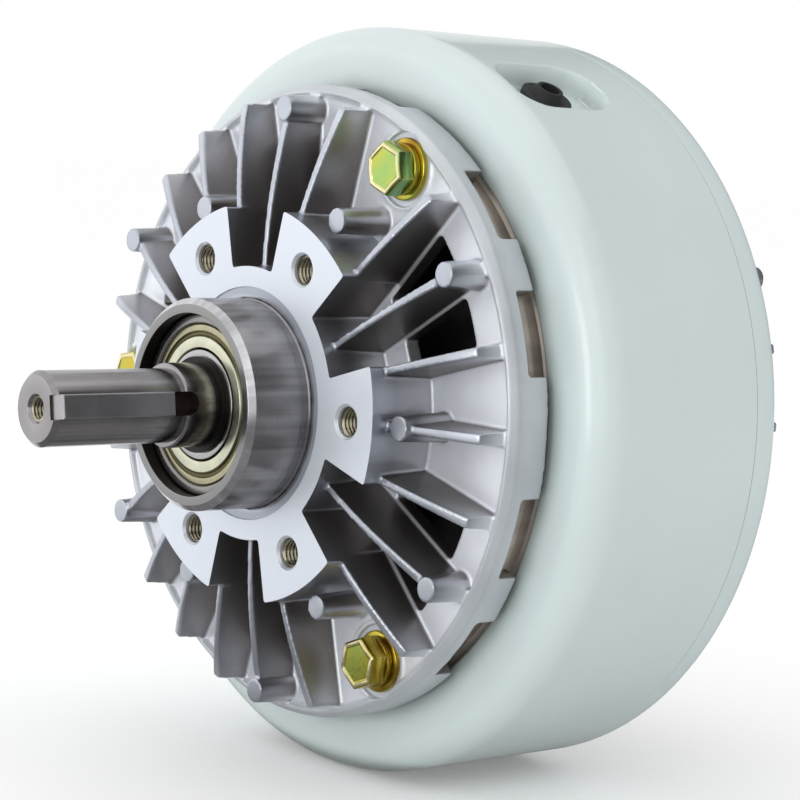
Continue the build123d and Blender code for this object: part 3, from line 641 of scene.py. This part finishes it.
slot_materials = {
    "cast_aluminium": cast,
    "turned_steel": steel,
    "painted_steel": yoke_paint,
    "bare_steel": register,
    "ground_steel": ground,
    "bearing_steel": bearing,
    "shield_steel": shield,
    "key_steel": key_steel,
    "spring_steel": spring,
    "zinc_steel": zinc,
    "black_steel": black,
    "rotor_steel": rotor_steel,
    "copper": copper,
    "bobbin_plastic": bobbin_plastic,
    "nonmagnetic_ring": bronze,
    "aluminium_plate": plate,
    "rubber": rubber,
}
for part in frame["record"]["subparts"]:
    mesh = nodes[part["node"]].data
    mesh.materials.clear()
    mesh.materials.append(slot_materials[part["material_slot"]])
# The seal plates behind the windows are painted near black as painted shade.
for name in ("front_seal_plate", "rear_seal_plate"):
    nodes[name].data.materials[0] = dark


# The finned castings

cast_spare = 1.5
cast_voxel = 0.5
cast_softening = 8
cast_points_kept = 0.2


def casting(name, source, rear, cutters):
    # A copy of the bracket with cast roundings; its spare metal and holes are then cut off sharp.
    made = nodes[source].copy()
    made.data = made.data.copy()
    made.name = name
    made.data.name = name
    for key in list(made.keys()):
        del made[key]
    made.parent = None
    bpy.context.scene.collection.objects.link(made)
    outward = 1 if rear else -1
    face = -(rear_pad_level if rear else pad_level) * MM
    for vertex in made.data.vertices:
        if abs(vertex.co.y - face) < 0.01 * MM:
            vertex.co.y += outward * cast_spare * MM
    cleaned(made.data)
    modified(made, "REMESH", mode="VOXEL", voxel_size=cast_voxel * MM, adaptivity=0.0)
    modified(made, "SMOOTH", factor=0.5, iterations=cast_softening)
    modified(made, "DECIMATE", ratio=cast_points_kept)
    made.data.materials.clear()
    made.data.materials.append(cast)
    for shape, finish in cutters:
        carved(made, piece("cutter", mirrored(shape) if rear else shape, finish))
    smooth(made, 38.0)
    return made


def disc(radius, level_low, level_high, segments=96):
    # A round cutter.
    return turned([(0, level_low), (radius, level_low), (radius, level_high), (0, level_high)], segments)


beyond = 5.0
hole_radius = 5.05
hole_depth = 18.0
drill_point = 2.0
mouth_radius = 5.95
mouth_depth = 0.9
spot_level = -26.3
spot_front = -14.0
spot_radius = 12.5
relief_radius = 40.0
relief_level = -0.5
sleeve_clearance = 0.02
facing_reach = 120.0

mount_hole = turned([
    (0, -hole_depth - drill_point),
    (hole_radius, -hole_depth),
    (hole_radius, -mouth_depth),
    (mouth_radius, 0),
    (mouth_radius, beyond),
    (0, beyond),
], 48)
facing_cut = block(-facing_reach, facing_reach, -facing_reach, facing_reach, 0, 2 * beyond)
bore_cut = disc(pilot_radius + sleeve_clearance, sleeve_back - beyond, beyond)
relief_cut = disc(relief_radius, relief_level, beyond)
spot_cuts = around(disc(spot_radius, spot_level, spot_front, 64), bolt_angles, bolt_circle)

faced = [(facing_cut, machined), (bore_cut, machined), (spot_cuts, machined)]
mount_holes = around(mount_hole, mount_angles, mount_circle)
# The relief round the spigot gets the darker copy as painted reflection.
front_casting = casting("front_casting", "front_bracket", False,
                        faced + [(relief_cut, relief_reflection_metal), (mount_holes, hole_metal)])
fit(front_casting, "housing", "cast_aluminium", "front_bracket")
rear_casting = casting("rear_casting", "rear_bracket", True, faced)
fit(rear_casting, "housing", "cast_aluminium", "rear_bracket")


# Threads


def inner_thread(minor, major, pitch, bottom, top):
    # A thin bush whose bore has a real thread.
    segments = 32
    rows_per_turn = 8
    rows = round((top - bottom) / pitch * rows_per_turn)
    back = major + 0.15

    def profile(angle):
        ring = [(back, bottom), (back, top)]
        for row in range(rows + 1):
            level = top - (top - bottom) * row / rows
            phase = (level / pitch - angle / (2 * math.pi)) % 1
            depth = min(1, max(0, 2.4 * abs(phase - 0.5) - 0.1))
            ring.append((major - (major - minor) * (1 - depth), level))
        return ring

    return turned(profile, segments)


mount_thread = inner_thread(minor=4.25, major=4.95, pitch=1.5, bottom=-hole_depth + 0.5, top=-2.0)
threads = piece("mount_threads", around(mount_thread, mount_angles, mount_circle), threaded, sharp=25.0)
fit(threads, "housing", "cast_aluminium")


# Yoke shell


def yoke_outline():
    # The painted main part of the field ring, from its split line to its rounded front corner.
    mouth = register_radius + 1.9
    return rounded([
        (yoke_radius, shell_back),
        (yoke_radius, yoke_level, yoke_rounding),
        (mouth, yoke_level, 1.8),
        (mouth, yoke_level - 5.0),
        (shell_inside, yoke_level - 10.0),
        (shell_inside, shell_back),
    ], 12)


pocket_width = 26.0
pocket_back = -93.0
pocket_front = -53.0
pocket_depth = 7.0
pocket_corner = 11.0
pocket_blend = 3.0


def pocket_drop(angle, level):
    # How far the yoke's side is let in at a place, with rounded corners and soft edges.
    half_width = pocket_width / 2
    half_length = (pocket_front - pocket_back) / 2
    across = abs(math.radians(math.degrees(angle) - pocket_angle)) * yoke_radius
    along = abs(level - (pocket_front + pocket_back) / 2)
    over_across = max(across - half_width + pocket_corner, 0)
    over_along = max(along - half_length + pocket_corner, 0)
    edge = math.hypot(over_across, over_along) - pocket_corner
    edge = max(edge, max(across - half_width, along - half_length)) if edge < 0 else edge
    share = min(1, max(0, 0.5 - edge / pocket_blend))
    return pocket_depth * share * share * (3 - 2 * share)


def yoke_shape():
    # The turned shell, with finer steps round the pocket in its side.
    outline = yoke_outline()
    side_steps = 90
    front = outline[1][1]
    side = [(yoke_radius, shell_back + (front - shell_back) * step / side_steps)
            for step in range(side_steps)]
    half_turn = 9
    fine_steps = 90
    coarse_steps = 170
    fine = [pocket_angle - half_turn + 2 * half_turn * step / fine_steps for step in range(fine_steps)]
    coarse = [pocket_angle + half_turn + (360 - 2 * half_turn) * step / coarse_steps
              for step in range(coarse_steps)]

    def profile(angle):
        return [(radius - pocket_drop(angle, level), level) for radius, level in side] + outline[1:]

    return turned(profile, angles=[math.radians(angle) for angle in fine + coarse])


yoke_shell = piece("yoke_shell", yoke_shape(), yoke_paint)
fit(yoke_shell, "housing", "painted_steel", "yoke")


# Turned registers

rebate = 3.0
rebate_width = 2.2
rebate_level = register_level - rebate_width
groove_front = register_level - 3.9
groove_depth = 0.9
land_back = register_level - 7.6
undercut = 1.6
coil_front = yoke_level - 21.0
coil_inside = 92.0
pole_back = yoke_level - 34.0


def register_outline():
    # The bare turned step that carries the bracket, and the pole behind it.
    return rounded([
        (powder_radius, pole_back),
        (powder_radius, plate_level, 0.3),
        (plate_step_radius, plate_level),
        (plate_step_radius, register_level, 0.4),
        (register_radius - rebate, register_level, 0.3),
        (register_radius - rebate, rebate_level),
        (register_radius, rebate_level, 0.4),
        (register_radius, groove_front, 0.25),
        (register_radius - groove_depth, groove_front - 0.4, 0.2),
        (register_radius - groove_depth, groove_front - 1.0, 0.2),
        (register_radius, groove_front - 1.4, 0.25),
        (register_radius, land_back, 0.3),
        (register_radius - undercut, land_back - 0.8, 0.3),
        (register_radius - undercut, yoke_level - 3),
        (shell_inside - 0.1, yoke_level - 12),
        (shell_inside - 0.1, coil_front),
        (coil_inside, coil_front),
        (coil_inside, pole_back),
    ], 3)


def in_rebate(radius, level):
    return radius > register_radius - rebate - 0.4 and level > rebate_level - 0.05


front_register = piece("yoke_register", turned(register_outline(), 180), register)
# The rebate is painted near black as painted shade.
recoloured(front_register, dark, in_rebate)
fit(front_register, "housing", "bare_steel")
rear_register = piece("rear_register", mirrored(turned(register_outline(), 180)), register)
fit(rear_register, "housing", "bare_steel")


# Rear yoke ring

yoke_back = opposite(yoke_level)
split_gap = 0.25
ring_screw_angles = [30 + 60 * step for step in range(6)]
ring_screw_circle = yoke_radius - 10.5
ring_screw_head_radius = 4.25
ring_screw_head_height = 5.0

rear_shell = piece("rear_shell", turned(rounded([
    (yoke_radius, shell_back - split_gap, 0.4),
    (yoke_radius, yoke_back, rear_rounding),
    (register_radius + 0.3, yoke_back, 0.5),
    (register_radius + 0.3, yoke_back + 1.5),
    (shell_inside, yoke_back + 10.0),
    (shell_inside, shell_back - split_gap),
], 8), 180), yoke_paint)
ring_screw_sink = disc(ring_screw_head_radius, yoke_back - 1.0, yoke_back + ring_screw_head_height, 32)
ring_screw_sinks = around(ring_screw_sink, ring_screw_angles, ring_screw_circle)
# The screw sinks keep the cutter's near-black colour as painted shade.
carved(rear_shell, piece("cutter", ring_screw_sinks, dark))
smooth(rear_shell)
fit(rear_shell, "housing", "painted_steel", "rear_yoke_ring")


# Sleeve

sleeve_chamfer = 2.0
sleeve_groove_front = 3.6
sleeve_groove_depth = 0.5
face_depth = 0.02


def in_cup(radius, level):
    return radius < cup_radius + 0.05 and level < pilot_height


def on_chamfer(radius, level):
    behind_face = pilot_height - sleeve_chamfer < level < pilot_height - face_depth
    return radius > pilot_radius - sleeve_chamfer and behind_face


def on_face(radius, level):
    return level > pilot_height - face_depth


sleeve = piece("spigot_sleeve", turned(rounded([
    (lip_radius, sleeve_back, 0.3),
    (lip_radius, bearing_back, 0.3),
    (cup_radius, bearing_back),
    (cup_radius, bearing_front),
    (cup_radius - 0.2, pilot_height - 0.3, 0.2),
    (cup_radius + 0.1, pilot_height, 0.2),
    (pilot_radius - sleeve_chamfer, pilot_height, 0.3),
    (pilot_radius, pilot_height - sleeve_chamfer, 0.3),
    (pilot_radius, sleeve_groove_front, 0.2),
    (pilot_radius - sleeve_groove_depth, sleeve_groove_front - 0.4, 0.2),
    (pilot_radius - sleeve_groove_depth, 0.4, 0.2),
    (pilot_radius, 0.0),
    (pilot_radius, sleeve_back, 0.5),
], 4), 192), steel, sharp=28.0)
# The bore above the bearing is painted near black as painted shade.
recoloured(sleeve, bore_shade_steel, in_cup)
# The chamfer is painted paler as painted highlight.
recoloured(sleeve, chamfer_highlight_steel, on_chamfer)
# The front face is painted darker as painted shade.
recoloured(sleeve, sleeve_face_shade, on_face)
fit(sleeve, "housing", "turned_steel", "front_bearing_sleeve")


# Shaft

key_turn = 9.0
key_width = 8.0
keyway_floor = neck_radius - 4.0
keyway_end = 33.3
keyway_reach = 25.0
rotor_key_floor = rotor_seat - 5.0
rotor_key_width = 12.0
rotor_key_reach = 30.0
end_chamfer = 1.6
centre_mouth_radius = 5.0
centre_hole_radius = 4.05
centre_hole_depth = 18.0
flange_back = opposite(hub_back)
flange_front = flange_back + rotor_flange_width

shaft_body = piece("turned_shaft", turned(rounded([
    (0, shaft_tail),
    (seat_radius, shaft_tail, 1.0),
    (seat_radius, rear_race_back - clip_width),
    (seat_radius - 1.0, rear_race_back - clip_width),
    (seat_radius - 1.0, rear_race_back),
    (seat_radius, rear_race_back),
    (seat_radius, rear_race_front),
    (shoulder_radius, rear_race_front, 0.4),
    (shoulder_radius, nut_back, 0.3),
    (nut_thread_radius, nut_back, 0.3),
    (nut_thread_radius, hub_back),
    (rotor_seat, hub_back, 0.3),
    (rotor_seat, flange_back),
    (rotor_flange_radius, flange_back, 0.3),
    (rotor_flange_radius, flange_front, 0.5),
    (shoulder_radius, flange_front),
    (shoulder_radius, bearing_back, 0.4),
    (seat_radius, bearing_back),
    (seat_radius, bearing_front),
    (clip_radius, bearing_front),
    (clip_radius, bearing_front + clip_width),
    (collar_radius, bearing_front + clip_width, 0.2),
    (collar_radius, collar_level, 0.9),
    (neck_radius, collar_level),
    (neck_radius, shaft_reach - end_chamfer, 0.15),
    (neck_radius - end_chamfer, shaft_reach, 0.2),
    (centre_mouth_radius, shaft_reach, 0.1),
    (centre_hole_radius, shaft_reach - 1.0),
    (centre_hole_radius, shaft_reach - centre_hole_depth),
    (0, shaft_reach - centre_hole_depth - drill_point),
], 4), 128), ground, sharp=28.0)


def key_cut(shape, finish):
    # Takes a cutter out of the shaft; it is drawn on the x axis and turned to where the key is.
    carved(shaft_body, piece("cutter", moved(shape, 0, 0, key_turn), finish))


def round_end():
    # The round run-out of the keyway, as an upright cylinder through the shaft's side.
    sides = 32
    radius = key_width / 2
    angles = [2 * math.pi * side / sides for side in range(sides)]
    points = [(x, radius * math.cos(angle), keyway_end + radius * math.sin(angle))
              for x in (keyway_floor, keyway_reach) for angle in angles]
    ends = [tuple(range(sides - 1, -1, -1)), tuple(range(sides, 2 * sides))]
    return points, ring_faces(2, sides, False) + ends


key_cut(block(keyway_floor, keyway_reach, -key_width / 2, key_width / 2,
              keyway_end, shaft_reach + beyond), slot_steel)
key_cut(block(rotor_key_floor, rotor_key_reach, -rotor_key_width / 2, rotor_key_width / 2,
              rotor_key_back, rotor_key_front), ground)
key_cut(round_end(), slot_steel)
smooth(shaft_body, 28.0)
fit(shaft_body, "rotor_shaft", "ground_steel", "shaft")

shaft_thread = inner_thread(minor=3.4, major=3.98, pitch=1.25, top=shaft_reach - 1.0,
                            bottom=shaft_reach - centre_hole_depth + 0.2)
fit(piece("shaft_thread", shaft_thread, threaded, sharp=25.0), "rotor_shaft", "ground_steel")


# Front bearing

outer_ring = piece("outer_race", turned(rounded([
    (cup_radius, bearing_back, 1.0),
    (cup_radius, bearing_front, 1.0),
    (shield_radius + 0.6, bearing_front, 0.3),
    (shield_radius, bearing_front - 0.7, 0.2),
    (shield_radius, bearing_back + 0.7),
    (shield_radius + 0.6, bearing_back, 0.3),
], 4), 128), outer_steel)
fit(outer_ring, "housing", "bearing_steel", "front_bearing_outer_ring")

inner_ring = piece("inner_race", turned(rounded([
    (seat_radius, bearing_back, 0.8),
    (race_radius, bearing_back, 0.3),
    (race_radius, bearing_front, 0.3),
    (seat_radius, bearing_front, 0.8),
], 4), 128), bearing)
fit(inner_ring, "rotor_shaft", "bearing_steel", "front_bearing_inner_ring")


def shield_outline(front):
    # A pressed shield: a crimped rim, a valley, a wide raised band and a lip near the inner ring.
    inner = race_radius + 0.35
    outer = shield_radius
    return rounded([
        (inner, front - 1.7, 0.1),
        (inner + 0.5, front - 1.7, 0.2),
        (inner + 0.8, front - 0.9, 0.3),
        (outer - 4.2, front - 0.9, 0.2),
        (outer - 3.7, front - 1.5, 0.2),
        (outer, front - 1.5),
        (outer, front - 0.9, 0.1),
        (outer - 0.4, front - 0.45, 0.3),
        (outer - 2.3, front - 0.35, 0.4),
        (outer - 2.9, front - 1.1, 0.3),
        (outer - 3.9, front - 1.0, 0.3),
        (outer - 4.4, front - 0.15, 0.4),
        (inner + 0.5, front - 0.15, 0.35),
        (inner, front - 0.8, 0.25),
    ], 3)


def on_shield_rim(radius, level):
    return radius > shield_radius - 2.5


def in_shield_valley(radius, level):
    return shield_radius - 4.1 < radius < shield_radius - 2.5


front_shield = turned(shield_outline(bearing_front), 128)
shields = together(front_shield, mirrored(front_shield, (bearing_back + bearing_front) / 2))
pressed = piece("bearing_shields", shields, shield)
# The rim and the valley of the shields get the darker copies as painted shade.
recoloured(pressed, shield_rim_shade, on_shield_rim)
recoloured(pressed, shield_valley_shade, in_shield_valley)
fit(pressed, "housing", "shield_steel", "front_bearing_shields")


# Bolts

washer_height = 1.7
spring_height = 2.2
spring_rise = 0.2
bolt_turns = {60: -21.0, 180: 10.0, 300: 22.0}
bolt_radius = 5.0
bolt_depth = 6.0
half_flats = 8.0
head_height = 6.5
sink_depth = 0.5
bolt_seat = spot_level + washer_height + spring_height + spring_rise
edge_level = bolt_seat + head_height - 0.45


def hexagon_profile(angle):
    # Half section of a hexagon bolt at an angle: rounded edges and a shallow sink in its top.
    turn = math.degrees(angle) % 60 - 30
    side = half_flats / math.cos(math.radians(turn))
    top = head_height - 0.2 * (side - half_flats)
    floor = head_height - sink_depth
    return [
        (0, -bolt_depth),
        (bolt_radius, -bolt_depth),
        (bolt_radius, 0),
        (side * 0.93, 0),
        (side - 0.12, 0.12),
        (side, 0.4),
        (side, top - 0.95),
        (side * 0.988, top - 0.70),
        (side * 0.945, top - 0.25),
        (side * 0.90, top - 0.03),
        (side * 0.86, top),
        (side * 0.80, top - 0.03),
        (side * 0.76, floor + 0.06),
        (side * 0.74, floor),
        (side * 0.70, floor),
        (0, floor),
    ]


head = turned(hexagon_profile, 96)
heads = together(*[
    moved(head, bolt_circle * math.cos(math.radians(angle)), bolt_circle * math.sin(math.radians(angle)),
          turn, bolt_seat)
    for angle, turn in bolt_turns.items()
])
front_heads = piece("bolt_heads", heads, zinc, sharp=24.0)
# The crowns of the heads are painted paler as painted highlight.
recoloured(front_heads, edge_highlight_zinc, lambda radius, level: level > edge_level)
fit(front_heads, "housing", "zinc_steel", "front_bracket_bolts")
rear_heads = piece("rear_bolt_heads", mirrored(heads), zinc, sharp=24.0)
# The crowns of the rear heads are painted paler as painted highlight.
recoloured(rear_heads, edge_highlight_zinc, lambda radius, level: opposite(level) > edge_level)
fit(rear_heads, "housing", "zinc_steel", "rear_bracket_bolts")


# Washers

spring_bore = 5.3
spring_outside = 8.8
washer_bore = 5.4
washer_outside = 10.5
washer_front = spot_level + washer_height

spring_section = rounded([
    (spring_bore, 0, 0.3),
    (spring_outside, 0, 0.5),
    (spring_outside, spring_height, 0.5),
    (spring_bore, spring_height, 0.3),
], 3)
spring_ring = swept(spring_section, start=4, end=354, steps=70, rise=spring_rise)
spring_rings = around(moved(spring_ring, 0, 0, 200, washer_front), bolt_angles, bolt_circle)
fit(piece("spring_rings", spring_rings, golden_zinc), "housing", "zinc_steel", "front_spring_washers")
fit(piece("rear_spring_rings", mirrored(spring_rings), golden_zinc), "housing", "zinc_steel",
    "rear_spring_washers")

flat_ring = turned(rounded([
    (washer_bore, spot_level, 0.2),
    (washer_outside, spot_level, 0.2),
    (washer_outside, washer_front, 0.5),
    (washer_bore, washer_front, 0.3),
], 3), 72)
flat_rings = around(flat_ring, bolt_angles, bolt_circle)
fit(piece("flat_rings", flat_rings, golden_zinc), "housing", "zinc_steel", "front_plain_washers")
fit(piece("rear_flat_rings", mirrored(flat_rings), golden_zinc), "housing", "zinc_steel",
    "rear_plain_washers")


# Floor, light and camera

aim = (0, 0.05, 0)
floor_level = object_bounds()[0].z
floor_lift = 0.18
ambient_level = 0.90


def backdrop_share(tree):
    # One for what the eye, mirrors and glass see, and nought for light that falls on the object.
    path = node(tree, "ShaderNodeLightPath")
    seen = maths(tree, "MAXIMUM", path.outputs["Is Camera Ray"], path.outputs["Is Glossy Ray"])
    return maths(tree, "MAXIMUM", seen, path.outputs["Is Transmission Ray"])


def floor_material():
    # A pale floor that reads as white where the object casts no shadow.
    material = bpy.data.materials.new("studio_floor")
    material.use_nodes = True
    tree = material.node_tree
    tree.nodes.clear()
    matt = node(tree, "ShaderNodeBsdfDiffuse", {"Color": (0.9, 0.9, 0.9, 1)})
    lift = maths(tree, "MULTIPLY", backdrop_share(tree), floor_lift)
    glow = node(tree, "ShaderNodeEmission", {"Color": (1, 1, 1, 1), "Strength": lift})
    both = node(tree, "ShaderNodeAddShader", {0: matt.outputs[0], 1: glow.outputs[0]})
    node(tree, "ShaderNodeOutputMaterial", {"Surface": both.outputs[0]})
    return material


def card_material(level):
    # A plain grey glow that other lights don't change.
    material = bpy.data.materials.new("studio_card")
    material.use_nodes = True
    tree = material.node_tree
    tree.nodes.clear()
    dull = node(tree, "ShaderNodeEmission", {"Color": (1, 1, 1, 1), "Strength": level})
    node(tree, "ShaderNodeOutputMaterial", {"Surface": dull.outputs[0]})
    return material


def sheet(name, centre, facing, width, height, material):
    # A flat stage plane that faces a point.
    corners = [(-width / 2, -height / 2, 0), (width / 2, -height / 2, 0),
               (width / 2, height / 2, 0), (-width / 2, height / 2, 0)]
    mesh = bpy.data.meshes.new(name)
    mesh.from_pydata(corners, [], [(0, 1, 2, 3)])
    mesh.materials.append(material)
    made = bpy.data.objects.new(name, mesh)
    made.location = centre
    made.rotation_euler = (Vector(facing) - Vector(centre)).to_track_quat("Z", "Y").to_euler()
    bpy.context.scene.collection.objects.link(made)
    return made


def card(name, centre, facing, width, height, level):
    # A dark card beside the set, which only polished metal sees.
    made = sheet(name, centre, facing, width, height, card_material(level))
    made.visible_camera = False
    made.visible_diffuse = False
    made.visible_transmission = False
    made.visible_shadow = False


def soft_light(name, place, size, power):
    # A square soft box that looks at the object.
    lamp = bpy.data.lights.new(name, "AREA")
    lamp.shape = "SQUARE"
    lamp.size = size
    lamp.energy = power
    made = bpy.data.objects.new(name, lamp)
    made.location = place
    made.rotation_euler = (Vector(aim) - Vector(place)).to_track_quat("-Z", "Y").to_euler()
    bpy.context.scene.collection.objects.link(made)


sheet("floor", (0, 0, floor_level), (0, 0, 1), 40, 40, floor_material())
card("right_card", (1.5, 0.3, 0.5), aim, width=2.6, height=2.2, level=0.12)
card("back_card", (0.2, 1.6, 0.6), aim, width=3.6, height=2.6, level=0.12)
card("low_card", (0.7, 0.1, floor_level + 0.002), (0.7, 0.1, 1), width=1.7, height=2.4, level=0.25)
soft_light("key", (-1.25, -1.0, 0.45), size=1.2, power=2)
soft_light("fill", (1.2, -1.2, 1.0), size=1.0, power=1)
soft_light("top", (-0.2, -0.1, 1.6), size=0.8, power=1)
soft_light("front", (0.1, -1.4, 0.1), size=0.5, power=3)


def studio():
    # White for what the eye and mirrors see, and a softer level for the light it gives.
    surroundings = bpy.data.worlds.new("studio")
    surroundings.use_nodes = True
    tree = surroundings.node_tree
    tree.nodes.clear()
    back = node(tree, "ShaderNodeBackground", {"Color": (1, 1, 1, 1), "Strength": 1.0})
    ambient = node(tree, "ShaderNodeBackground", {"Color": (1, 1, 1, 1), "Strength": ambient_level})
    mix = node(tree, "ShaderNodeMixShader", {0: backdrop_share(tree), 1: ambient.outputs[0],
                                             2: back.outputs[0]})
    node(tree, "ShaderNodeOutputWorld", {"Surface": mix.outputs[0]})
    bpy.context.scene.world = surroundings


studio()

camera_place = (0.69243, -0.51963, 0.08992)
camera_right = Vector((0.63070, 0.77414, 0.05403))
camera_up = Vector((-0.11138, 0.02141, 0.99355))
camera_lens = 114.18
camera_shift = 0.05


def camera():
    # The photograph's viewing angle and perspective.
    data = bpy.data.cameras.new("camera")
    data.lens = camera_lens
    data.sensor_width = 36.0
    data.shift_x = camera_shift
    data.clip_start = 0.01
    made = bpy.data.objects.new("camera", data)
    backward = camera_right.cross(camera_up)
    made.matrix_world = Matrix.Translation(camera_place) @ Matrix(
        (camera_right, camera_up, backward)).transposed().to_4x4()
    bpy.context.scene.collection.objects.link(made)
    bpy.context.scene.camera = made


camera()

bpy.context.scene.view_settings.view_transform = "Standard"
